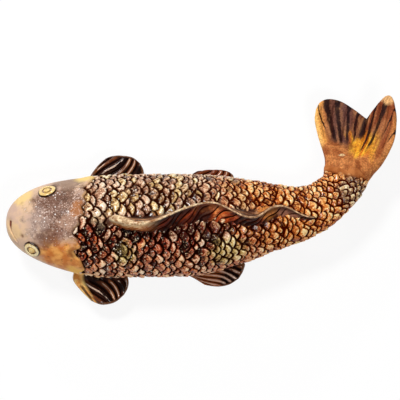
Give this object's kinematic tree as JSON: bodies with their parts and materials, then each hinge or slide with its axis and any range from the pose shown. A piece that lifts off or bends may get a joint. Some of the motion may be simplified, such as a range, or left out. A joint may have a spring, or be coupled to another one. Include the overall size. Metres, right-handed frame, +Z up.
{
  "type": "fish figurine",
  "caption": "Glazed stoneware carp ornament that rests on its belly, with stamped scales, a wavy dorsal fin, slab side fins and a forked tail swept to one side.",
  "frame": {"origin": "centre of the bounding box, at the height of the flat foot", "axes": "+Z up, -X towards the snout, +Y towards the fish's right side, to which the tail is swept"},
  "size_m": [0.2002, 0.1068, 0.054],
  "materials": {
    "body_glaze": "glossy amber to dark brown glaze over stamped scales",
    "head_glaze": "glossy cream to grey-brown glaze with fine speckle",
    "fin_glaze": "glossy dark brown glaze over combed rays",
    "tail_glaze": "glossy amber glaze with dark ray lines",
    "eye_glaze": "glossy cream-yellow glaze",
    "pupil_glaze": "glossy ochre glaze"
  },
  "bodies": {
    "root": {"head_shell": "head_glaze", "back_shell": "body_glaze", "belly_shell": "body_glaze", "dorsal_fin": "fin_glaze", "left_pectoral_fin": "fin_glaze", "right_pectoral_fin": "fin_glaze", "left_pelvic_fin": "fin_glaze", "right_pelvic_fin": "fin_glaze", "tail_fin": "tail_glaze", "left_eye": "eye_glaze", "right_eye": "eye_glaze", "left_pupil": "pupil_glaze", "right_pupil": "pupil_glaze"}
  },
  "joints": []
}
